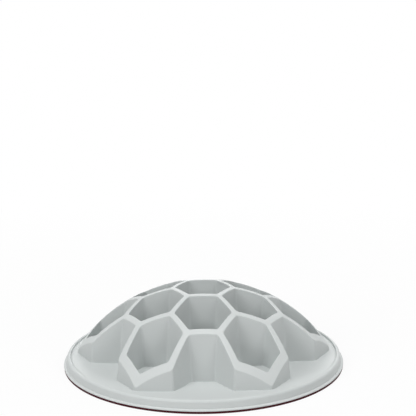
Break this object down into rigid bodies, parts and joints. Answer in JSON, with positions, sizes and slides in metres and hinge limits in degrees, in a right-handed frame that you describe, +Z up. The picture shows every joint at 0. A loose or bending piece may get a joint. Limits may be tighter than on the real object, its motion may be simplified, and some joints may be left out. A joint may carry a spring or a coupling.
{
  "type": "slow feeder bowl",
  "caption": "Round slow feeder bowl for a cat: a honeycomb dome of feeding wells on a plate with a raised lip, on a non-slip rubber ring.",
  "frame": {"origin": "centre of the base, on the surface that the bowl stands on", "axes": "+Z up; -Y is the front, with one of the open bays in its middle; +X is to the right, through a tip well"},
  "size_m": [0.3, 0.3, 0.0843],
  "materials": {
    "shell_plastic": "pale grey moulded plastic, satin",
    "grip_rubber": "burgundy soft rubber, matt"
  },
  "bodies": {
    "root": {"feeder_shell": "shell_plastic", "grip_ring": "grip_rubber"}
  },
  "joints": []
}
